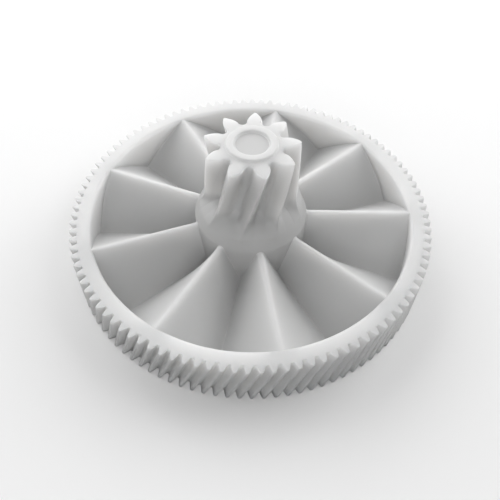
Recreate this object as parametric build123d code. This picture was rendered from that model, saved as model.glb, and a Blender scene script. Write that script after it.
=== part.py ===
from build123d import *
import math
import os

# A compound helical gear, moulded in one piece: a large fine-toothed wheel on a pleated web,
# and a small coarse-toothed pinion standing on its domed hub.
# Frame: millimetres, +Z up the axis from the wheel towards the pinion,
# origin on the axis in the wheel's flat underside.

# --- Driving dimensions (mm, degrees) ---

# Large wheel
WHEEL_TEETH = 104
WHEEL_MODULE = 0.8  # normal module
WHEEL_HELIX = 20.0  # right-hand helix angle on the reference circle
WHEEL_SHIFT = 0.0  # profile shift, in modules
WHEEL_WIDTH = 12.6
WHEEL_TOP_PHASE = 0.24  # direction of one tooth on the wheel's top face
WHEEL_THINNING = 0.04  # taken off each tooth's thickness for running clearance
TOOTH_END_CHAMFER = 0.3

# Rim
RIM_INNER_RADIUS = 39.9
RIM_INNER_CHAMFER = 0.6

# Pleated web
PLEATS = 9
FIRST_CREST = 0.16  # direction of the first ridge
CREST_DROP = 0.2  # crests lie this far below the wheel's top face
VALLEY_FLOOR = 2.2  # height of the valleys' upper surface
CREST_RADIUS = 1.0  # of the ridges' rounded tops
VALLEY_UNDERSIDE = 0.0
WALL_AT_RIM = 2.3  # thickness measured along the axis, at the rim
WALL_AT_HUB = 4.0  # and at the hub, where the flanks are steepest

# Hub
HUB_RADIUS = 14.05
DOME_SHOULDER_RADIUS = 11.15
DOME_SHOULDER = 17.0  # height of the dome's surface at that radius, under the pinion's tips
DOME_CROWN_RADIUS = 6.9
DOME_CROWN = 19.2  # and at this radius, hidden inside the pinion's root

# Pinion
PINION_TEETH = 9
PINION_MODULE = 1.85
PINION_HELIX = 12.5
PINION_SHIFT = 0.42
PINION_THINNING = 0.1
PINION_TOP = 34.1  # height of the pinion's top face
PINION_TOP_PHASE = 6.8
PRESSURE_ANGLE = 20.0  # in the normal section, for both gears

# Blind bore for the axle, open at the underside
BORE_RADIUS = 4.05
BORE_DEPTH = 31.0

# Thrust ring on the pinion's closed end
RING_INNER_RADIUS = 4.1
RING_OUTER_RADIUS = 6.2
RING_HEIGHT = 0.65
RING_EDGE = 0.25

FLANK_SPAN = 180.0 / PLEATS  # from a crest to the valley beside it
OVERRUN = 1.0  # how far a cutting shape reaches past what it cuts
CLEARANCE = 0.01  # from the base circle to a flank's first point, and from the tips to the rim's envelope


class HelicalTeeth:
    """Proportions of an involute helical gear, measured in the plane of rotation."""

    def __init__(self, teeth, module, helix, shift, thinning):
        helix_angle = math.radians(helix)
        transverse_module = module / math.cos(helix_angle)
        self.teeth = teeth
        self.reference_radius = transverse_module * teeth / 2
        self.tip_radius = self.reference_radius + module * (1 + shift)
        self.root_radius = self.reference_radius - module * (1.25 - shift)
        normal_pressure = math.radians(PRESSURE_ANGLE)
        self.pressure = math.atan(math.tan(normal_pressure) / math.cos(helix_angle))
        self.base_radius = self.reference_radius * math.cos(self.pressure)
        thickness = transverse_module * math.pi / 2
        thickness += 2 * shift * module * math.tan(self.pressure) - thinning
        self.half_angle = thickness / (2 * self.reference_radius)
        self.degrees_per_mm = math.degrees(math.tan(helix_angle) / self.reference_radius)

    def half_angle_at(self, radius):
        """Half the angle, in radians, that one tooth fills at a radius on its flanks."""
        pressure = math.acos(min(1.0, self.base_radius / radius))
        involute = math.tan(pressure) - pressure
        reference_involute = math.tan(self.pressure) - self.pressure
        return self.half_angle + reference_involute - involute


def polar(radius, angle):
    """A point in the XY plane. The angle is in radians."""
    return (radius * math.cos(angle), radius * math.sin(angle))


def teeth_outline(gear, phase):
    """The closed outline of a gear in its plane of rotation: flanks, tip arcs and round root arcs."""
    flank_start = max(gear.base_radius, gear.root_radius) + CLEARANCE
    flank_middle = (flank_start + gear.tip_radius) / 2
    pitch = 2 * math.pi / gear.teeth
    start_half = gear.half_angle_at(flank_start)
    middle_half = gear.half_angle_at(flank_middle)
    tip_half = gear.half_angle_at(gear.tip_radius)
    edges = []
    for number in range(gear.teeth):
        centre = math.radians(phase) + number * pitch
        right_start = polar(flank_start, centre - start_half)
        right_tip = polar(gear.tip_radius, centre - tip_half)
        left_tip = polar(gear.tip_radius, centre + tip_half)
        left_start = polar(flank_start, centre + start_half)
        next_start = polar(flank_start, centre + pitch - start_half)
        edges.append(ThreePointArc(right_start, polar(flank_middle, centre - middle_half), right_tip))
        edges.append(ThreePointArc(right_tip, polar(gear.tip_radius, centre), left_tip))
        edges.append(ThreePointArc(left_tip, polar(flank_middle, centre + middle_half), left_start))
        edges.append(ThreePointArc(left_start, polar(gear.root_radius, centre + pitch / 2), next_start))
    return Wire(edges)


def twisted_gear(gear, top_phase, bottom, top):
    """A right-hand helical gear standing from one height to another."""
    twist = gear.degrees_per_mm * (top - bottom)
    outline = Face(teeth_outline(gear, top_phase - twist)).moved(Location((0, 0, bottom)))
    return Solid.extrude_linear_with_rotation(outline, (0, 0, bottom), (0, 0, top - bottom), twist)


def turned(edges):
    """A solid of revolution about the Z axis, from edges in the plane of radius and height."""
    return Solid.revolve(Face(Wire(edges)), 360, Axis.Z)


def straight(points, close=False):
    """Lines through points given as radius and height."""
    corners = [(radius, 0, height) for radius, height in points]
    if close:
        corners.append(corners[0])
    return [Line(start, end) for start, end in zip(corners, corners[1:])]


def toothed_rim():
    """The ring of fine helical teeth, chamfered at both ends of the teeth."""
    gear = HelicalTeeth(WHEEL_TEETH, WHEEL_MODULE, WHEEL_HELIX, WHEEL_SHIFT, WHEEL_THINNING)
    teeth = twisted_gear(gear, WHEEL_TOP_PHASE, 0, WHEEL_WIDTH)
    inner = RIM_INNER_RADIUS
    outer = gear.tip_radius + CLEARANCE
    outline = straight([
        (inner, RIM_INNER_CHAMFER),
        (inner + RIM_INNER_CHAMFER, 0),
        (outer - TOOTH_END_CHAMFER, 0),
        (outer, TOOTH_END_CHAMFER),
        (outer, WHEEL_WIDTH - TOOTH_END_CHAMFER),
        (outer - TOOTH_END_CHAMFER, WHEEL_WIDTH),
        (inner + RIM_INNER_CHAMFER, WHEEL_WIDTH),
        (inner, WHEEL_WIDTH - RIM_INNER_CHAMFER),
    ], close=True)
    return teeth & turned(outline)


def pleat_section(distance):
    """The folded plate's section across a ridge that runs along +X, at a distance from the axis.

    The ridge's top is an arc that runs tangent into both flanks.
    """
    half = distance * math.tan(math.radians(FLANK_SPAN))
    outward = (distance - HUB_RADIUS) / (RIM_INNER_RADIUS - HUB_RADIUS)
    wall = WALL_AT_HUB + (WALL_AT_RIM - WALL_AT_HUB) * outward
    crest = WHEEL_WIDTH - CREST_DROP
    rise = crest - CREST_RADIUS - VALLEY_FLOOR
    slope = math.atan2(rise, half) + math.asin(CREST_RADIUS / math.hypot(rise, half))
    shoulder_across = CREST_RADIUS * math.sin(slope)
    shoulder = crest - CREST_RADIUS * (1 - math.cos(slope))
    left_valley = (distance, -half, VALLEY_FLOOR)
    left_shoulder = (distance, -shoulder_across, shoulder)
    ridge = (distance, 0, crest)
    right_shoulder = (distance, shoulder_across, shoulder)
    right_valley = (distance, half, VALLEY_FLOOR)
    right_foot = (distance, half, VALLEY_UNDERSIDE)
    under_ridge = (distance, 0, crest - wall)
    left_foot = (distance, -half, VALLEY_UNDERSIDE)
    return Wire([
        Line(left_valley, left_shoulder),
        ThreePointArc(left_shoulder, ridge, right_shoulder),
        Line(right_shoulder, right_valley),
        Line(right_valley, right_foot),
        Line(right_foot, under_ridge),
        Line(under_ridge, left_foot),
        Line(left_foot, left_valley),
    ])


def web_pleat():
    """One fold of the web, from valley to valley, with its ridge along +X."""
    near = HUB_RADIUS * math.cos(math.radians(FLANK_SPAN)) - OVERRUN
    far = RIM_INNER_RADIUS + OVERRUN
    plate = Solid.make_loft([pleat_section(near), pleat_section(far)], ruled=True)
    room = straight([
        (HUB_RADIUS, -OVERRUN),
        (RIM_INNER_RADIUS, -OVERRUN),
        (RIM_INNER_RADIUS, WHEEL_WIDTH),
        (HUB_RADIUS, WHEEL_WIDTH),
    ], close=True)
    return plate & turned(room)


def hub():
    """The sleeve in the middle of the web, with a domed top that carries the pinion."""
    dome_edge = (HUB_RADIUS, 0, WHEEL_WIDTH)
    dome_shoulder = (DOME_SHOULDER_RADIUS, 0, DOME_SHOULDER)
    dome_crown = (DOME_CROWN_RADIUS, 0, DOME_CROWN)
    sleeve = straight([
        (DOME_CROWN_RADIUS, DOME_CROWN),
        (BORE_RADIUS, DOME_CROWN),
        (BORE_RADIUS, 0),
        (HUB_RADIUS, 0),
        (HUB_RADIUS, WHEEL_WIDTH),
    ])
    return turned(sleeve + [ThreePointArc(dome_edge, dome_shoulder, dome_crown)])


def pinion(hub_solid):
    """The coarse helical teeth, cut to sit on the dome and closed at the top."""
    gear = HelicalTeeth(PINION_TEETH, PINION_MODULE, PINION_HELIX, PINION_SHIFT, PINION_THINNING)
    teeth = twisted_gear(gear, PINION_TOP_PHASE, WHEEL_WIDTH, PINION_TOP)
    bore = Solid.make_cylinder(BORE_RADIUS, BORE_DEPTH)
    return teeth - hub_solid - bore


def thrust_ring():
    """The low ring on the pinion's end, round a shallow recess."""
    top = PINION_TOP + RING_HEIGHT
    outline = straight([
        (RING_INNER_RADIUS, PINION_TOP),
        (RING_OUTER_RADIUS, PINION_TOP),
        (RING_OUTER_RADIUS, top - RING_EDGE),
        (RING_OUTER_RADIUS - RING_EDGE, top),
        (RING_INNER_RADIUS + RING_EDGE, top),
        (RING_INNER_RADIUS, top - RING_EDGE),
    ], close=True)
    return turned(outline)


def main():
    os.makedirs("parts", exist_ok=True)
    hub_solid = hub()
    parts = {
        "toothed_rim": toothed_rim(),
        "hub": hub_solid,
        "pinion": pinion(hub_solid),
        "thrust_ring": thrust_ring(),
    }
    pleat = web_pleat()
    for number in range(PLEATS):
        direction = FIRST_CREST + number * 360 / PLEATS
        parts[f"web_pleat_{number + 1}"] = pleat.rotate(Axis.Z, direction)
    for name, shape in parts.items():
        export_step(shape, f"parts/{name}.step")


main()
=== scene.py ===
import math
from typing import NamedTuple
import bpy
import numpy as np
from mathutils import Matrix, Vector


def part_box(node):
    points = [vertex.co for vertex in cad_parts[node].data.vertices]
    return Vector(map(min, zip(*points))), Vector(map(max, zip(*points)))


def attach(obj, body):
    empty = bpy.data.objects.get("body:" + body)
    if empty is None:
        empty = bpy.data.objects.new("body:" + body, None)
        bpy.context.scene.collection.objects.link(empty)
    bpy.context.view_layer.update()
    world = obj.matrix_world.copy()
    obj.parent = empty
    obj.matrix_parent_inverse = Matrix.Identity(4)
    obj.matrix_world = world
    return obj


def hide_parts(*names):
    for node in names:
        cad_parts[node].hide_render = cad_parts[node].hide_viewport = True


# A one-piece moulded compound helical gear in white acetal, built as its regions:
# toothed rim, nine web pleats, hub, pinion and the ring on the pinion's end.
# Lengths are millimetres until finished_mesh() turns them into metres.
# The stage, the lights and the camera are in metres.

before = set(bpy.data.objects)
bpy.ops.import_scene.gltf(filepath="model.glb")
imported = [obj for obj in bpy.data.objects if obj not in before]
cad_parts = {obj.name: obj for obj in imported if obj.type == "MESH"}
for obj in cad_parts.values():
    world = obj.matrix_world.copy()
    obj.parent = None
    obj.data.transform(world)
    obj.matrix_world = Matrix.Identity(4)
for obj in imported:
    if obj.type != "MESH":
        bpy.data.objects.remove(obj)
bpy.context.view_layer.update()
MM = 0.001

# --- Dimensions read from the CAD frame ---
_, rim_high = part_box("toothed_rim")
_, hub_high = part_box("hub")
_, pinion_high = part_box("pinion")
_, ring_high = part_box("thrust_ring")
WHEEL_WIDTH = rim_high.z / MM
HUB_RADIUS = hub_high.x / MM
DOME_CROWN = hub_high.z / MM
PINION_TOP = pinion_high.z / MM
RING_RADIUS = ring_high.x / MM
RING_TOP = ring_high.z / MM

# --- Proportions repeated from the CAD source ---
PRESSURE_ANGLE = 20.0
DEDENDUM = 1.25  # depth of a tooth below its reference circle, in modules
WHEEL = {"teeth": 104, "module": 0.8, "helix": 20.0, "shift": 0.0, "thinning": 0.04, "phase": 0.24}
PINION = {"teeth": 9, "module": 1.85, "helix": 12.5, "shift": 0.42, "thinning": 0.1, "phase": 6.8}
CLEARANCE = 0.01  # from the base circle to a flank's first point
RIM_INNER_RADIUS = 39.9
PLEATS = 9
FIRST_CREST = 0.16
CREST_HEIGHT = WHEEL_WIDTH - 0.2
VALLEY_FLOOR = 2.2
WALL_AT_RIM = 2.3
WALL_AT_HUB = 4.0
CREST_RADIUS = 1.0
DOME_SHOULDER_RADIUS = 11.15
DOME_SHOULDER = 17.0
DOME_CROWN_RADIUS = 6.9
BORE_RADIUS = 4.05
BORE_DEPTH = 31.0

# --- Finish of the moulding: fillets and rounded edges ---
WHEEL_SOFTNESS = 0.09  # how far the corners of the teeth's outline are rounded off
PINION_SOFTNESS = 0.2
TOOTH_EDGE = 0.16
PINION_EDGE = 0.3
RIM_EDGE = 0.9
HUB_EDGE = 0.5
LAND_MARGIN = 0.35  # the rim's flat faces start this far inside the roots of the teeth
WEB_FILLET = 0.4
THINNEST = 0.02  # the smallest fillet on the web's underside, and the space left below a larger one
THINNEST_TOP = 0.01  # the smallest fillet on its upper side, where a ridge meets the rim
WEB_IN_HUB = 0.5  # how far a pleat runs into the hub
VALLEY_SOFTNESS = 0.15
UNDER_CREST_RADIUS = 1.2
DOME_BLEND = 2.0  # width of the blend between the pinion's teeth and the dome
BLEND_START = WHEEL_WIDTH + 1.0
BLEND_RISE = 2.0  # height over which the blend reaches its full width
CROWN_TAPER = 6.0  # inwards per millimetre of height, past the top of the dome's arc
BLEND_END = DOME_CROWN + 1.5
LID_DROP = 3.0  # the border between hub and pinion runs down by this much from the dome to the bore
RING_FILLET = 0.3
RING_SINK = 0.2  # how far the end ring reaches down into the pinion
SKIN = 0.04  # width of the narrow strip that keeps a flat face's shading flat beside a rounded edge
CRISP_EDGE = math.radians(40)  # edges sharper than this stay crisp in the shading

# --- Painted light at thin places, and where light spreads under the surface ---
# The painted glow lightens the base colour and fades over these distances from a ridge, from the rim's top
# and from the pinion's top
RIDGE_GLOW = 2.4
RIM_GLOW = 3.0
PINION_GLOW = 3.5
FLUTE_GLOW = 0.55  # its strength on a flute's floor, painted light there, where the wall over the bore is thin
FLUTE_DEPTH = 3.0  # distance outwards over which that fades
RECESS_GLOW = 0.55  # its strength inside the ring, lower than on the end face: painted shade on the recess floor, where the closed end is thick
RING_MARGIN = 0.1  # the end face has loops of points this far, or twice as far, beside the ring's edges
BORDER = 2.5  # the strip beside a neighbouring region where the plastic turns opaque
BORDER_LIFT = 0.3  # the pinion starts to clear this far above its border with the dome
RING_BORDER = 0.6  # strip of the pinion's end face beside the ring

# --- Resolution of the meshes ---
WHEEL_TOOTH_POINTS = 24
PINION_TOOTH_POINTS = 84
TIP_POINTS = 20
FLANK_POINTS = 80
ROOT_POINTS = 58
FINE_POINTS = 1200  # points of one pitch while its corners are being rounded
FLANK_LENGTH = 3.2  # what the flanks add to the length of one pitch's outline, in tooth depths
SMALL_ROUND = 5  # steps of a rounded edge
HUB_ROUND = 6
PINION_ROUND = 7
LARGE_ROUND = 8
TEETH_ROWS = 16
WALL_ROWS = 6
PLEAT_ROWS = 30
PLEAT_COLUMNS = 121
CROWDING = 0.12  # how much the columns of a pleat crowd towards its valleys
BORE_ROWS = 5
SLEEVE_ROWS = 10
DOME_ROWS = 22
UPPER_BORE_ROWS = 8
RUN_OUT_ROWS = 24
PINION_ROWS = 30
RING_POINTS = 240
MIDDLE_LOOP = 1.0  # radius of the last loop round the middle of the end face


# --- Gear geometry ---

class HelicalTeeth:
    """Proportions of an involute helical gear, measured in the plane of rotation."""

    def __init__(self, teeth, module, helix, shift, thinning, phase):
        helix_angle = math.radians(helix)
        transverse = module / math.cos(helix_angle)
        self.teeth = teeth
        self.phase = math.radians(phase)
        self.pitch = 2 * math.pi / teeth
        self.reference = transverse * teeth / 2
        self.tip = self.reference + module * (1 + shift)
        self.root = self.reference - module * (DEDENDUM - shift)
        self.pressure = math.atan(math.tan(math.radians(PRESSURE_ANGLE)) / math.cos(helix_angle))
        self.base = self.reference * math.cos(self.pressure)
        thickness = transverse * math.pi / 2 + 2 * shift * module * math.tan(self.pressure) - thinning
        self.half_angle = thickness / (2 * self.reference)
        self.turn = math.tan(helix_angle) / self.reference  # radians per millimetre of height

    def half_angle_at(self, radius):
        """Half the angle that one tooth fills at a radius on its flanks."""
        pressure = np.arccos(np.minimum(1.0, self.base / radius))
        involute = np.tan(pressure) - pressure
        return self.half_angle + math.tan(self.pressure) - self.pressure - involute

    def turned(self, top, height):
        """Direction of the first tooth at a height, when its phase is given at the top."""
        return self.phase - self.turn * (top - height)


def evenly_spaced(angle, radius, count):
    """Resamples a line, given in polar form, at even steps along its length."""
    across = radius * np.gradient(angle)
    steps = np.hypot(np.diff(radius), across[1:])
    travelled = np.concatenate([[0], np.cumsum(steps)])
    at = np.linspace(0, travelled[-1], count)
    return np.interp(at, travelled, angle), np.interp(at, travelled, radius)


def sharp_pitch(gear):
    """The outline from the middle of one tooth's tip to the next, in polar form and with sharp corners."""
    flank_start = max(gear.base, gear.root) + CLEARANCE
    flank = np.linspace(gear.tip, flank_start, FLANK_POINTS)
    half = gear.half_angle_at(flank)
    tip_angle = np.linspace(0, half[0], TIP_POINTS, endpoint=False)
    tip_radius = np.full(TIP_POINTS, gear.tip)
    across = np.linspace(-1, 1, ROOT_POINTS + 2)[1:-1]
    root_angle = gear.pitch / 2 + across * (gear.pitch / 2 - half[-1])
    root_radius = flank_start - (flank_start - gear.root) * np.sqrt(1 - across ** 2)
    next_flank = gear.pitch - half[::-1]
    next_tip = gear.pitch - tip_angle[::-1]
    angle = np.concatenate([tip_angle, half, root_angle, next_flank, next_tip])
    radius = np.concatenate([tip_radius, flank, root_radius, flank[::-1], tip_radius])
    return angle, radius


def one_pitch(gear, samples, softness):
    """The outline of one pitch with its corners rounded by a periodic Gaussian blur along its length."""
    angle, radius = evenly_spaced(*sharp_pitch(gear), FINE_POINTS + 1)
    trend = np.linspace(0, gear.pitch, FINE_POINTS + 1)[:-1]
    length = gear.pitch * gear.reference + FLANK_LENGTH * (gear.tip - gear.root)
    sigma = softness / length * FINE_POINTS
    reach = np.arange(FINE_POINTS) - FINE_POINTS // 2
    kernel = np.exp(-0.5 * (reach / sigma) ** 2)
    spectrum = np.fft.rfft(np.fft.ifftshift(kernel / kernel.sum()))
    smooth_angle = np.fft.irfft(np.fft.rfft(angle[:-1] - trend) * spectrum, FINE_POINTS) + trend
    smooth_radius = np.fft.irfft(np.fft.rfft(radius[:-1]) * spectrum, FINE_POINTS)
    smooth_angle = np.append(smooth_angle, smooth_angle[0] + gear.pitch)
    smooth_radius = np.append(smooth_radius, smooth_radius[0])
    angle, radius = evenly_spaced(smooth_angle, smooth_radius, samples + 1)
    return angle[:-1], radius[:-1]


def full_outline(gear, samples, softness):
    """The closed outline of the whole gear as angles and radii, one tooth after another."""
    angle, radius = one_pitch(gear, samples, softness)
    starts = np.arange(gear.teeth)[:, None] * gear.pitch
    return (starts + angle[None, :]).ravel(), np.tile(radius, gear.teeth)


def inset_outline(angle, radius, inset):
    """The outline moved inwards along its own normals."""
    x, y = radius * np.cos(angle), radius * np.sin(angle)
    along_x = np.roll(x, -1) - np.roll(x, 1)
    along_y = np.roll(y, -1) - np.roll(y, 1)
    size = np.hypot(along_x, along_y)
    x = x - inset * along_y / size
    y = y + inset * along_x / size
    return np.unwrap(np.arctan2(y, x)), np.hypot(x, y)


def loop_at(angle, radius, height):
    """One closed loop of points."""
    radius = np.broadcast_to(radius, angle.shape)
    height = np.broadcast_to(height, angle.shape)
    return np.stack([radius * np.cos(angle), radius * np.sin(angle), height], -1)


def even_angles(count):
    """Directions all the way round."""
    return np.linspace(0, 2 * math.pi, count, endpoint=False)


def quarter(steps):
    """Angles from 0 to 90 degrees."""
    return np.linspace(0, math.pi / 2, steps)


# --- Meshes ---

# The mesh attributes that the plastic's shader reads
# The first attribute carries painted light: how much lighter the base colour is painted
PAINTED_LIGHT = "painted_light"
CLEAR = "clearness"


def ease(distance, span):
    """Rises smoothly from 0 to 1 over a span."""
    share = np.clip(distance / span, 0, 1)
    return share * share * (3 - 2 * share)


def painted_light_below(top, reach):
    """Painted light that fades evenly down from a height."""
    return lambda x, y, z: np.exp(-np.maximum(0, top - z) / reach)


def mesh_from_loops(name, loops, glow, clear, closed_ring=False, first_point=None, last_point=None):
    """A closed surface through loops that all have the same number of points.

    closed_ring joins the last loop to the first. Otherwise first_point and last_point close the ends.
    """
    count = len(loops[0])
    verts = list(loops)
    faces = []
    rows = len(loops) if closed_ring else len(loops) - 1
    column = np.arange(count)
    beside = (column + 1) % count
    for row in range(rows):
        low = row * count
        high = ((row + 1) % len(loops)) * count
        faces.append(np.stack([low + column, low + beside, high + beside, high + column], -1))
    face_list = np.concatenate(faces).tolist()
    total = len(loops) * count
    if first_point is not None:
        verts.append(np.array([first_point]))
        face_list += [[total, b, a] for a, b in zip(column.tolist(), beside.tolist())]
        total += 1
    if last_point is not None:
        verts.append(np.array([last_point]))
        start = (len(loops) - 1) * count
        face_list += [[total, start + a, start + b] for a, b in zip(column.tolist(), beside.tolist())]
    return finished_mesh(name, np.concatenate(verts), face_list, glow, clear)


def finished_mesh(name, verts, faces, glow, clear):
    """A smooth-shaded object from points in millimetres.

    glow(x, y, z) is painted light: how much lighter the base colour is painted, for light through the
    plastic: 0 where it is thick, 1 at a thin edge.
    clear(x, y, z) says how freely light spreads under the surface. It is 0 along a border with a neighbouring
    region, so that the borders inside the moulding don't show.
    """
    mesh = bpy.data.meshes.new(name)
    mesh.from_pydata((verts * MM).tolist(), [], faces)
    for attribute, amount in ((PAINTED_LIGHT, glow), (CLEAR, clear)):
        values = np.broadcast_to(amount(*verts.T), len(verts))
        made = mesh.attributes.new(attribute, "FLOAT", "POINT")
        made.data.foreach_set("value", np.clip(values, 0, 1).astype(np.float32))
    mesh.validate()
    mesh.shade_smooth()
    mesh.set_sharp_from_angle(angle=CRISP_EDGE)
    mesh.update()
    piece = bpy.data.objects.new(name, mesh)
    bpy.context.scene.collection.objects.link(piece)
    return piece


# --- Toothed rim ---

def clear_of_ridges(x, y, z):
    """Turns opaque round the points where the web's ridges meet the rim."""
    pitch = 2 * math.pi / PLEATS
    turn = (np.arctan2(y, x) - math.radians(FIRST_CREST)) % pitch
    beside = np.minimum(turn, pitch - turn) * RIM_INNER_RADIUS
    outward = np.hypot(x, y) - RIM_INNER_RADIUS
    return ease(np.sqrt(beside ** 2 + outward ** 2 + (z - CREST_HEIGHT) ** 2), BORDER)


def toothed_rim():
    """The ring with its fine helical teeth: up the teeth, in across the top, and down the inner wall."""
    gear = HelicalTeeth(**WHEEL)
    angle, radius = full_outline(gear, WHEEL_TOOTH_POINTS, WHEEL_SOFTNESS)
    even = even_angles(len(angle)) + angle[0]

    def teeth_at(height, inset):
        inner_angle, inner_radius = inset_outline(angle + gear.turned(WHEEL_WIDTH, height), radius, inset)
        return loop_at(inner_angle, inner_radius, height)

    def ring_at(ring_radius, height):
        return loop_at(even + gear.turned(WHEEL_WIDTH, height), ring_radius, height)

    land = gear.root - LAND_MARGIN
    loops = [teeth_at(0, TOOTH_EDGE + SKIN)]
    for a in quarter(SMALL_ROUND):
        loops.append(teeth_at(TOOTH_EDGE * (1 - math.cos(a)), TOOTH_EDGE * (1 - math.sin(a))))
    for height in np.linspace(TOOTH_EDGE, WHEEL_WIDTH - TOOTH_EDGE, TEETH_ROWS)[1:-1]:
        loops.append(teeth_at(height, 0))
    for a in quarter(SMALL_ROUND):
        loops.append(teeth_at(WHEEL_WIDTH - TOOTH_EDGE * (1 - math.sin(a)), TOOTH_EDGE * (1 - math.cos(a))))
    loops.append(teeth_at(WHEEL_WIDTH, TOOTH_EDGE + SKIN))
    loops.append(ring_at(land, WHEEL_WIDTH))
    loops.append(ring_at(RIM_INNER_RADIUS + RIM_EDGE + SKIN, WHEEL_WIDTH))
    for a in quarter(LARGE_ROUND):
        inner = RIM_INNER_RADIUS + RIM_EDGE * (1 - math.sin(a))
        loops.append(ring_at(inner, WHEEL_WIDTH - RIM_EDGE * (1 - math.cos(a))))
    for height in np.linspace(WHEEL_WIDTH - RIM_EDGE, RIM_EDGE, WALL_ROWS)[1:-1]:
        loops.append(ring_at(RIM_INNER_RADIUS, height))
    for a in quarter(LARGE_ROUND):
        inner = RIM_INNER_RADIUS + RIM_EDGE * (1 - math.cos(a))
        loops.append(ring_at(inner, RIM_EDGE * (1 - math.sin(a))))
    loops.append(ring_at(RIM_INNER_RADIUS + RIM_EDGE + SKIN, 0))
    loops.append(ring_at(land, 0))
    # Painted light: the rim's base colour is lighter towards its top
    glow = painted_light_below(WHEEL_WIDTH, RIM_GLOW)
    return mesh_from_loops("rim_moulding", loops, glow, clear_of_ridges, closed_ring=True)


# --- Pleated web ---

def between(radius, at_hub, at_rim):
    """A dimension that changes evenly from the hub to the rim."""
    return at_hub + (at_rim - at_hub) * (radius - HUB_RADIUS) / (RIM_INNER_RADIUS - HUB_RADIUS)


def fold(radius, angle, crest, valley, round_top):
    """Height of a folded plate: straight flanks up from softened valleys, tangent to a round ridge."""
    along = radius * np.cos(angle)
    across = np.abs(radius * np.sin(angle))
    half = along * math.tan(math.pi / PLEATS)
    rise = crest - round_top - valley
    slope = np.arctan2(rise, half) + np.arcsin(round_top / np.hypot(rise, half))
    to_valley = np.sqrt((half - across) ** 2 + VALLEY_SOFTNESS ** 2)
    on_flank = valley + to_valley * np.tan(slope)
    on_ridge = crest - round_top + np.sqrt(np.maximum(0, round_top ** 2 - across ** 2))
    return np.where(across < round_top * np.sin(slope), on_ridge, on_flank)


def top_of_web(radius, angle):
    """Height of the web's upper surface."""
    return fold(radius, angle, CREST_HEIGHT, VALLEY_FLOOR, CREST_RADIUS)


def underside_of_web(radius, angle):
    """Height of the web's lower surface."""
    wall = between(radius * np.cos(angle), WALL_AT_HUB, WALL_AT_RIM)
    return fold(radius, angle, CREST_HEIGHT - wall, 0.0, UNDER_CREST_RADIUS)


def pleat_side(angle, surface, side, near_round, far_round):
    """Rows of radii and heights along one side of a pleat, from hub to rim, with fillets at both ends.

    side is 1 where the fillets turn up, and -1 where they turn down.
    """
    start = HUB_RADIUS + near_round
    end = RIM_INNER_RADIUS - far_round
    in_hub = HUB_RADIUS - WEB_IN_HUB + 0 * angle
    in_rim = RIM_INNER_RADIUS + RIM_EDGE + 0 * angle
    rows = [(in_hub, surface(start, angle) + side * near_round)]
    for a in quarter(SMALL_ROUND):
        radius = HUB_RADIUS + near_round * (1 - math.cos(a))
        rows.append((radius, surface(radius, angle) + side * near_round * (1 - math.sin(a))))
    for share in np.linspace(0, 1, PLEAT_ROWS)[1:-1]:
        radius = start + (end - start) * share
        rows.append((radius, surface(radius, angle)))
    for a in quarter(SMALL_ROUND):
        radius = RIM_INNER_RADIUS - far_round * (1 - math.sin(a))
        rows.append((radius, surface(radius, angle) + side * far_round * (1 - math.cos(a))))
    rows.append((in_rim, surface(in_rim, angle)))
    return rows


def pleat_rows(angle):
    """The fold's section along each direction: out along the top, then back along the underside."""
    room_above = WHEEL_WIDTH - RIM_EDGE - top_of_web(RIM_INNER_RADIUS, angle)
    room_under_near = underside_of_web(HUB_RADIUS, angle) - THINNEST
    room_under_far = underside_of_web(RIM_INNER_RADIUS, angle) - THINNEST
    far = np.clip(room_above, THINNEST_TOP, WEB_FILLET)
    near = np.full_like(angle, WEB_FILLET)
    under_near = np.clip(room_under_near, THINNEST, WEB_FILLET)
    under_far = np.clip(room_under_far, THINNEST, WEB_FILLET)
    above = pleat_side(angle, top_of_web, 1, near, far)
    below = pleat_side(angle, underside_of_web, -1, under_near, under_far)
    return above + below[::-1]


def web_pleat(number):
    """One fold of the web, from the valley on one side of its ridge to the valley on the other."""
    half_span = math.pi / PLEATS
    share = np.linspace(-1, 1, PLEAT_COLUMNS)
    angle = half_span * (share + CROWDING * np.sin(math.pi * share))
    crest = math.radians(FIRST_CREST) + (number - 1) * 2 * half_span
    grid = [loop_at(angle + crest, radius, height) for radius, height in pleat_rows(angle)]
    count = len(angle)
    total = len(grid)
    faces = []
    for row in range(total):
        low = row * count
        high = ((row + 1) % total) * count
        for column in range(count - 1):
            faces.append([low + column, high + column, high + column + 1, low + column + 1])
    faces.append([row * count for row in range(total)][::-1])
    faces.append([row * count + count - 1 for row in range(total)])

    # Painted light: the base colour is lighter along the ridge, fading away from its crest
    def glow(x, y, z):
        across = y * math.cos(crest) - x * math.sin(crest)
        return np.exp(-np.hypot(across, CREST_HEIGHT - z) / RIDGE_GLOW)

    def clear(x, y, z):
        along = x * math.cos(crest) + y * math.sin(crest)
        across = np.abs(y * math.cos(crest) - x * math.sin(crest))
        from_valley = along * math.sin(half_span) - across * math.cos(half_span)
        from_ends = np.minimum(np.hypot(x, y) - HUB_RADIUS, RIM_INNER_RADIUS - np.hypot(x, y))
        return ease(np.minimum(from_valley, from_ends), BORDER)

    return finished_mesh(f"pleat_moulding_{number}", np.concatenate(grid), faces, glow, clear)


# --- Hub and pinion ---

def circle_through(first, second, third):
    """Centre and radius of the circle through three points of the (radius, height) plane."""
    (ax, ay), (bx, by), (cx, cy) = first, second, third
    d = 2 * (ax * (by - cy) + bx * (cy - ay) + cx * (ay - by))
    a2, b2, c2 = ax ** 2 + ay ** 2, bx ** 2 + by ** 2, cx ** 2 + cy ** 2
    x = (a2 * (by - cy) + b2 * (cy - ay) + c2 * (ay - by)) / d
    y = (a2 * (cx - bx) + b2 * (ax - cx) + c2 * (bx - ax)) / d
    return x, y, math.hypot(ax - x, ay - y)


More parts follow.
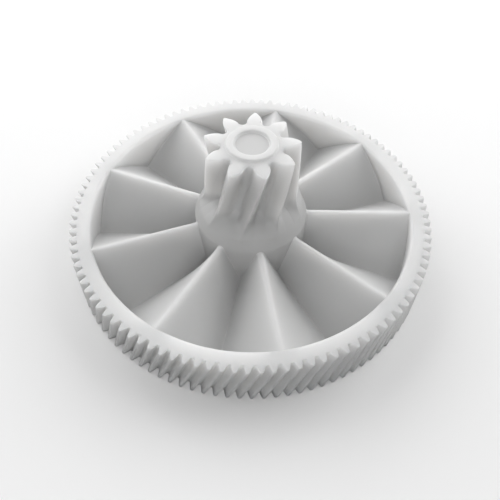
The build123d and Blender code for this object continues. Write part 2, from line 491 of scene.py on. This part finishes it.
DOME_CENTRE, DOME_LEVEL, DOME_SWEEP = circle_through(
    (HUB_RADIUS, WHEEL_WIDTH), (DOME_SHOULDER_RADIUS, DOME_SHOULDER), (DOME_CROWN_RADIUS, DOME_CROWN))
PINION_GEAR = HelicalTeeth(**PINION)
PINION_ANGLE, PINION_RADIUS = full_outline(PINION_GEAR, PINION_TOOTH_POINTS, PINION_SOFTNESS)
EVEN_ANGLE = even_angles(len(PINION_ANGLE)) + PINION_ANGLE[0]


def dome_radius(height):
    """The hub's radius at a height: a straight sleeve, then the dome, then nothing."""
    if height <= WHEEL_WIDTH:
        return HUB_RADIUS
    above = height - DOME_LEVEL
    if above >= DOME_SWEEP:
        return max(0.0, DOME_CENTRE - CROWN_TAPER * (above - DOME_SWEEP))
    return max(0.0, DOME_CENTRE + math.sqrt(DOME_SWEEP ** 2 - above ** 2))


def body_at(height, inset=0.0):
    """The outline where the pinion's teeth run out softly into the dome."""
    turned = PINION_GEAR.turned(PINION_TOP, height)
    angle, radius = inset_outline(PINION_ANGLE + turned, PINION_RADIUS, inset)
    dome = dome_radius(height)
    blend = DOME_BLEND * min(1.0, max(0.0, (height - BLEND_START) / BLEND_RISE))
    both = (radius + dome + np.sqrt((radius - dome) ** 2 + blend ** 2)) / 2
    return loop_at(angle, both, height)


def plain_ring(radius, height):
    """A round loop whose points turn with the pinion's teeth."""
    return loop_at(EVEN_ANGLE + PINION_GEAR.turned(PINION_TOP, height), radius, height)


def hub():
    """The sleeve in the web with the lower part of the dome."""
    lid = DOME_SHOULDER - LID_DROP
    loops = [plain_ring(BORE_RADIUS, lid)]
    for height in np.linspace(lid, HUB_EDGE, BORE_ROWS)[1:]:
        loops.append(plain_ring(BORE_RADIUS, height))
    for a in quarter(HUB_ROUND)[1:]:
        loops.append(plain_ring(BORE_RADIUS + HUB_EDGE * (1 - math.cos(a)), HUB_EDGE * (1 - math.sin(a))))
    loops.append(plain_ring(BORE_RADIUS + HUB_EDGE + SKIN, 0))
    loops.append(plain_ring(HUB_RADIUS - HUB_EDGE - SKIN, 0))
    for a in quarter(HUB_ROUND):
        loops.append(plain_ring(HUB_RADIUS - HUB_EDGE * (1 - math.sin(a)), HUB_EDGE * (1 - math.cos(a))))
    for height in np.linspace(HUB_EDGE, WHEEL_WIDTH, SLEEVE_ROWS)[1:]:
        loops.append(body_at(height))
    for height in np.linspace(WHEEL_WIDTH, DOME_SHOULDER, DOME_ROWS)[1:]:
        loops.append(body_at(height))
    # Painted light: the hub's base colour is lighter towards the pinion's top
    glow = painted_light_below(PINION_TOP, PINION_GLOW)
    return mesh_from_loops("hub_moulding", loops, glow, lambda x, y, z: 0.0, closed_ring=True)


def pinion_painted_light(x, y, z):
    """Painted light: strong on the end face, duller in the recess as painted shade, and fair on the floors of
    the flutes.
    """
    from_axis = np.hypot(x, y)
    strength = np.where(from_axis < BORE_RADIUS + RING_MARGIN, RECESS_GLOW, 1)
    end_face = strength * painted_light_below(PINION_TOP, PINION_GLOW)(x, y, z)
    flute = FLUTE_GLOW * (1 - ease(from_axis - PINION_GEAR.root, FLUTE_DEPTH))
    return np.where(z > PINION_TOP - SKIN, end_face, np.maximum(end_face, flute))


def pinion_clear(x, y, z):
    """Opaque along the dome and inside the ring."""
    from_dome = ease(z - DOME_SHOULDER - BORDER_LIFT, 2 * BORDER)
    return from_dome * ease(np.hypot(x, y) - RING_RADIUS, RING_BORDER)


def pinion():
    """The coarse helical teeth on the upper dome, closed at the top above the blind bore."""
    loops = [plain_ring(BORE_RADIUS, BORE_DEPTH)]
    for height in np.linspace(BORE_DEPTH, DOME_SHOULDER - LID_DROP, UPPER_BORE_ROWS)[1:]:
        loops.append(plain_ring(BORE_RADIUS, height))
    for height in np.linspace(DOME_SHOULDER, BLEND_END, RUN_OUT_ROWS):
        loops.append(body_at(height))
    for height in np.linspace(BLEND_END, PINION_TOP - PINION_EDGE, PINION_ROWS)[1:-1]:
        loops.append(body_at(height))
    for a in quarter(PINION_ROUND):
        loops.append(body_at(PINION_TOP - PINION_EDGE * (1 - math.sin(a)), PINION_EDGE * (1 - math.cos(a))))
    loops.append(body_at(PINION_TOP, PINION_EDGE + SKIN))
    loops.append(plain_ring(RING_RADIUS + RING_MARGIN, PINION_TOP))
    loops.append(plain_ring(BORE_RADIUS + 2 * RING_MARGIN, PINION_TOP))
    loops.append(plain_ring(BORE_RADIUS - RING_MARGIN, PINION_TOP))
    loops.append(plain_ring(MIDDLE_LOOP, PINION_TOP))
    end_of_bore = (0, 0, BORE_DEPTH)
    top = (0, 0, PINION_TOP)
    return mesh_from_loops(
        "pinion_moulding", loops, pinion_painted_light, pinion_clear, first_point=end_of_bore, last_point=top)


def end_ring():
    """The low ring on the pinion's end face: rounded on top, with small fillets at its foot."""
    edge = RING_TOP - PINION_TOP - RING_FILLET
    outer = RING_RADIUS - RING_FILLET
    inner = BORE_RADIUS
    sunk = PINION_TOP - RING_SINK
    section = [(RING_RADIUS, sunk)]
    for a in quarter(SMALL_ROUND):
        height = PINION_TOP + RING_FILLET * (1 - math.cos(a))
        section.append((RING_RADIUS - RING_FILLET * math.sin(a), height))
    for a in quarter(LARGE_ROUND)[1:]:
        section.append((outer - edge * (1 - math.cos(a)), RING_TOP - edge * (1 - math.sin(a))))
    for a in quarter(LARGE_ROUND):
        section.append((inner + edge * (1 - math.sin(a)), RING_TOP - edge * (1 - math.cos(a))))
    for a in quarter(SMALL_ROUND)[1:]:
        height = PINION_TOP + RING_FILLET * (1 - math.sin(a))
        section.append((inner - RING_FILLET * (1 - math.cos(a)), height))
    section.append((inner - RING_FILLET, sunk))
    even = even_angles(RING_POINTS)
    loops = [loop_at(even, radius, height) for radius, height in section]
    # Painted light: the ring's base colour is lighter towards the pinion's top
    glow = painted_light_below(PINION_TOP, PINION_GLOW)
    return mesh_from_loops(
        "end_ring_moulding", loops, glow, lambda x, y, z: ease(z - PINION_TOP, edge / 2), closed_ring=True)


# --- Material ---

class Finish(NamedTuple):
    """What differs from one region of the moulding to the next. The tones are partly painted shade and light.
    """
    shade_tone: float  # base colour away from the painted glow, lower on hub and pinion as painted shade
    glow_tone: float  # base colour where the painted glow is full: painted light
    depth: float  # share of the light that scatters under the surface, away from borders
    reach: float  # how far that light travels, in millimetres
    roughness: float
    grain: float  # strength of the fine bump


OPAQUE = 0.08  # share of the light that scatters under the surface along a border
# One white plastic: its tones are painted darker on the hub and pinion and lighter on the rim, as painted
# shade and light
TEETH_FINISH = Finish(shade_tone=0.68, glow_tone=0.78, depth=1.0, reach=8.0, roughness=0.42, grain=0.25)
WEB_FINISH = Finish(shade_tone=0.58, glow_tone=0.72, depth=0.8, reach=6.0, roughness=0.46, grain=0.35)
HUB_FINISH = Finish(shade_tone=0.48, glow_tone=0.8, depth=OPAQUE, reach=6.0, roughness=0.44, grain=0.3)
PINION_FINISH = Finish(shade_tone=0.48, glow_tone=0.78, depth=1.0, reach=9.0, roughness=0.4, grain=0.2)
RING_FINISH = Finish(shade_tone=0.6, glow_tone=0.81, depth=0.15, reach=3.0, roughness=0.38, grain=0.15)

ACETAL_IOR = 1.48
SCATTER_COLOURS = (1.0, 0.97, 0.94)  # red travels a little further than blue
WARMTH = 0.995  # blue in the base colour, as a share of red and green
CLOUD_SCALE = 45.0  # noise scales are in waves per metre
CLOUD_DETAIL = 3.0
CLOUDINESS = 0.12  # how much the clouds add to the glow
SHADE_STOP = 0.03  # the painted glow at which the plastic has its darkest tone and its lightest, painted tone
GLOW_STOP = 1.08  # and its edge tone
SCUFF_STRETCH = (180, 900, 260)  # noise scales along the three axes
SCUFF_DIRECTION = (0.3, 0.2, 0.7)
SCUFF_DETAIL = 5.0
POLISHED = 0.06  # how far scuffs and wear take the roughness below and above its mean
DULLED = 0.08
GRAIN_SCALE = 2600.0
GRAIN_DETAIL = 4.0
GRAIN_DEPTH = 0.00004


def grey(tone, blue=1.0):
    """An opaque grey, with its blue scaled."""
    return (tone, tone, tone * blue, 1)


def node(tree, kind, **settings):
    """A new shader node with its settings."""
    made = tree.nodes.new(kind)
    for key, value in settings.items():
        setattr(made, key, value)
    return made


def noise(tree, where, scale, detail):
    """The value of a noise texture."""
    made = node(tree, "ShaderNodeTexNoise")
    made.inputs["Scale"].default_value = scale
    made.inputs["Detail"].default_value = detail
    tree.links.new(where, made.inputs["Vector"])
    return made.outputs["Fac"]


def mesh_value(tree, attribute):
    """The value of a mesh attribute."""
    made = node(tree, "ShaderNodeAttribute", attribute_type="GEOMETRY", attribute_name=attribute)
    return made.outputs["Fac"]


def mapped(tree, value, low, high):
    """A value from 0 to 1, stretched to a new range."""
    made = node(tree, "ShaderNodeMapRange")
    made.inputs["To Min"].default_value = low
    made.inputs["To Max"].default_value = high
    tree.links.new(value, made.inputs["Value"])
    return made.outputs["Result"]


def moulded_plastic(name, finish):
    """Satin white acetal: painted lighter near ridges and tops where light would come through thin plastic,
    faintly cloudy, with fine grain and handling scuffs.
    """
    material = bpy.data.materials.new(name)
    material.use_nodes = True
    tree = material.node_tree
    links = tree.links
    shader = tree.nodes["Principled BSDF"]
    shader.inputs["IOR"].default_value = ACETAL_IOR
    shader.inputs["Subsurface Radius"].default_value = SCATTER_COLOURS
    shader.inputs["Subsurface Scale"].default_value = finish.reach * MM
    place = node(tree, "ShaderNodeTexCoord").outputs["Object"]

    # Painted light: the base colour runs from the darker tone up to the glow tone along the painted glow,
    # with faint random clouds added
    clouded = node(tree, "ShaderNodeMath", operation="MULTIPLY_ADD")
    clouded.inputs[1].default_value = CLOUDINESS
    links.new(noise(tree, place, CLOUD_SCALE, CLOUD_DETAIL), clouded.inputs[0])
    links.new(mesh_value(tree, PAINTED_LIGHT), clouded.inputs[2])
    colour = node(tree, "ShaderNodeValToRGB")
    shade_end, edge = colour.color_ramp.elements
    shade_end.position = SHADE_STOP
    shade_end.color = grey(finish.shade_tone, WARMTH)
    edge.position = GLOW_STOP
    edge.color = grey(finish.glow_tone, WARMTH)
    links.new(clouded.outputs["Value"], colour.inputs["Fac"])
    links.new(colour.outputs["Color"], shader.inputs["Base Color"])
    scattered = mapped(tree, mesh_value(tree, CLEAR), OPAQUE, finish.depth)
    links.new(scattered, shader.inputs["Subsurface Weight"])

    stretched = node(tree, "ShaderNodeMapping")
    stretched.inputs["Scale"].default_value = SCUFF_STRETCH
    stretched.inputs["Rotation"].default_value = SCUFF_DIRECTION
    links.new(place, stretched.inputs["Vector"])
    scuffs = noise(tree, stretched.outputs["Vector"], 1.0, SCUFF_DETAIL)
    sheen = mapped(tree, scuffs, finish.roughness - POLISHED, finish.roughness + DULLED)
    links.new(sheen, shader.inputs["Roughness"])

    bump = node(tree, "ShaderNodeBump")
    bump.inputs["Strength"].default_value = finish.grain
    bump.inputs["Distance"].default_value = GRAIN_DEPTH
    links.new(noise(tree, place, GRAIN_SCALE, GRAIN_DETAIL), bump.inputs["Height"])
    links.new(bump.outputs["Normal"], shader.inputs["Normal"])
    return material


def place_piece(piece, material, *nodes):
    """Gives a piece its material and puts it in the place of its CAD nodes."""
    piece.data.materials.append(material)
    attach(piece, "root")
    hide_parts(*nodes)


# --- The gear ---

def build_gear():
    """Every region of the moulding, in the place of its CAD node."""
    place_piece(toothed_rim(), moulded_plastic("acetal_wheel_teeth", TEETH_FINISH), "toothed_rim")
    web_plastic = moulded_plastic("acetal_web", WEB_FINISH)
    for number in range(1, PLEATS + 1):
        place_piece(web_pleat(number), web_plastic, f"web_pleat_{number}")
    place_piece(hub(), moulded_plastic("acetal_hub", HUB_FINISH), "hub")
    place_piece(pinion(), moulded_plastic("acetal_pinion", PINION_FINISH), "pinion")
    place_piece(end_ring(), moulded_plastic("acetal_end_ring", RING_FINISH), "thrust_ring")


# --- Stage ---
FLOOR_RADIUS = 0.6
FLOOR_POINTS = 96
FLOOR_TONE = 0.95
FLOOR_ROUGHNESS = 0.9
LIGHT_SIZE = 0.5
LIGHT_DISTANCE = 0.6
AMBIENT_STRENGTH = 0.03
BACKDROP_TONE = 0.9

# name, azimuth, elevation, watts
LIGHTS = (
    ("back_key", 200, 35, 1.15),
    ("back_low", 180, 12, 1.0),
    ("right_back_low", 120, 12, 1.5),
    ("left_back_low", 240, 12, 1.5),
    ("right_back_high", 120, 40, 1.44),
    ("left_back_high", 240, 40, 0.81),
    ("front_top", 0, 65, 0.58),
    ("front_high", 0, 40, 0.45),
    ("front_low", 0, 12, 0.95),
    ("left_front_low", 300, 12, 0.45),
)


def pale_floor():
    """A plain round floor under the gear. It takes light and shadow, and throws none back."""
    verts = loop_at(even_angles(FLOOR_POINTS), FLOOR_RADIUS, 0.0)
    mesh = bpy.data.meshes.new("floor")
    mesh.from_pydata(verts.tolist(), [], [list(range(FLOOR_POINTS))])
    floor = bpy.data.objects.new("floor", mesh)
    bpy.context.scene.collection.objects.link(floor)
    material = bpy.data.materials.new("pale_floor")
    material.use_nodes = True
    shader = material.node_tree.nodes["Principled BSDF"]
    shader.inputs["Base Color"].default_value = grey(FLOOR_TONE)
    shader.inputs["Roughness"].default_value = FLOOR_ROUGHNESS
    mesh.materials.append(material)
    floor.visible_diffuse = False
    floor.visible_glossy = False
    floor.visible_shadow = False


def soft_light(name, azimuth, elevation, power):
    """A large square soft box that faces the gear. Azimuth 0 is on the camera's side, 90 on the right."""
    a, e = math.radians(azimuth), math.radians(elevation)
    away = Vector((math.sin(a) * math.cos(e), -math.cos(a) * math.cos(e), math.sin(e)))
    data = bpy.data.lights.new(name, "AREA")
    data.energy = power
    data.shape = "SQUARE"
    data.size = LIGHT_SIZE
    light = bpy.data.objects.new(name, data)
    light.location = away * LIGHT_DISTANCE + Vector((0, 0, WHEEL_WIDTH * MM))
    light.rotation_mode = "QUATERNION"
    light.rotation_quaternion = away.to_track_quat("Z", "Y")
    bpy.context.scene.collection.objects.link(light)


def studio_world():
    """Faint even light from all round, with a pale backdrop behind the floor's edge."""
    world = bpy.data.worlds.new("studio")
    world.use_nodes = True
    tree = world.node_tree
    ambient = tree.nodes["Background"]
    ambient.inputs["Color"].default_value = grey(1)
    ambient.inputs["Strength"].default_value = AMBIENT_STRENGTH
    backdrop = node(tree, "ShaderNodeBackground")
    backdrop.inputs["Color"].default_value = grey(BACKDROP_TONE)
    seen = node(tree, "ShaderNodeLightPath")
    choice = node(tree, "ShaderNodeMixShader")
    tree.links.new(seen.outputs["Is Camera Ray"], choice.inputs["Fac"])
    tree.links.new(ambient.outputs["Background"], choice.inputs[1])
    tree.links.new(backdrop.outputs["Background"], choice.inputs[2])
    tree.links.new(choice.outputs["Shader"], tree.nodes["World Output"].inputs["Surface"])
    bpy.context.scene.world = world
    bpy.context.scene.view_settings.view_transform = "Standard"


# --- Camera ---
CAMERA_LENS = 40.79
CAMERA_SENSOR = 36.0
CAMERA_ELEVATION = 51.7
CAMERA_ROLL = 1.13
CAMERA_DISTANCE = 2.997  # in wheel tip radii, from the point that it looks at
CAMERA_AIM = -0.2896  # that point's place along Y, in wheel tip radii, on the wheel's top face
CAMERA_NEAR = 0.01
CAMERA_FAR = 10.0


def camera():
    """Looks down at the wheel from the front, with a slight roll."""
    tip = HelicalTeeth(**WHEEL).tip * MM
    elevation = math.radians(CAMERA_ELEVATION)
    roll = math.radians(CAMERA_ROLL)
    forward = Vector((0, math.cos(elevation), -math.sin(elevation)))
    level = Vector((1, 0, 0))
    upright = level.cross(forward)
    right = level * math.cos(roll) + upright * math.sin(roll)
    up = upright * math.cos(roll) - level * math.sin(roll)
    aim = Vector((0, CAMERA_AIM * tip, WHEEL_WIDTH * MM))
    data = bpy.data.cameras.new("camera")
    data.lens = CAMERA_LENS
    data.sensor_width = CAMERA_SENSOR
    data.clip_start = CAMERA_NEAR
    data.clip_end = CAMERA_FAR
    made = bpy.data.objects.new("camera", data)
    axes = Matrix((right, up, -forward)).transposed().to_4x4()
    made.matrix_world = Matrix.Translation(aim - forward * CAMERA_DISTANCE * tip) @ axes
    bpy.context.scene.collection.objects.link(made)
    bpy.context.scene.camera = made


build_gear()
pale_floor()
for light in LIGHTS:
    soft_light(*light)
studio_world()
camera()
